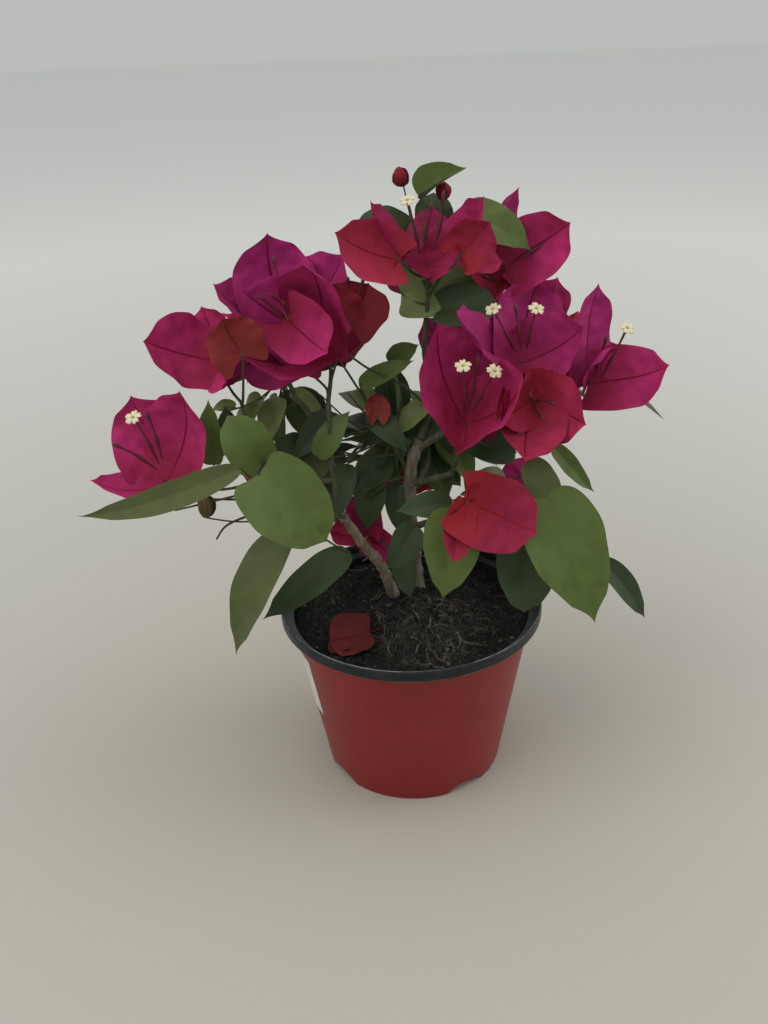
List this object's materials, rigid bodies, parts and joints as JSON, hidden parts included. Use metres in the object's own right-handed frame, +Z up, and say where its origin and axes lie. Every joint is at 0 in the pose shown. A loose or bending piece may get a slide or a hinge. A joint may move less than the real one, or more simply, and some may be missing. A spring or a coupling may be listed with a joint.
{
  "type": "potted bougainvillea",
  "caption": "Small flowering shrub with woody stems, ovate leaves and papery bracts, growing in a tapered plastic pot filled with peat.",
  "frame": {"origin": "centre of the pot's flat underside", "axes": "+Z up, +X to the right and -Y towards the side that the plant is seen from in its main view"},
  "size_m": [0.3181, 0.2039, 0.3583],
  "materials": {
    "pot_plastic": "satin",
    "peat": "rough",
    "bark": "rough",
    "blooms": "papery",
    "leaves": "soft sheen",
    "spent_bract": "papery"
  },
  "bodies": {
    "root": {"pot": "pot_plastic", "soil": "peat", "fallen_bract": "spent_bract", "main_stem": "bark", "left_cane": "bark", "left_shoot": "bark", "upright": "bark", "right_bough": "bark", "high_right_bough": "bark", "centre_bough": "bark", "low_right_bough": "bark", "left_bough": "bark", "back_left_bough": "bark", "back_right_bough": "bark", "back_centre_bough": "bark", "back_low_left_bough": "bark", "back_low_right_bough": "bark", "left_top": "blooms", "top": "blooms", "high_right": "blooms", "right": "blooms", "centre": "blooms", "left": "blooms", "low_right": "leaves", "low_left": "leaves", "foot": "leaves", "inner": "leaves", "back_top": "leaves", "back_left": "leaves", "back_right": "leaves", "back_centre": "leaves", "back_low_left": "leaves", "back_low_right": "leaves"}
  },
  "joints": []
}
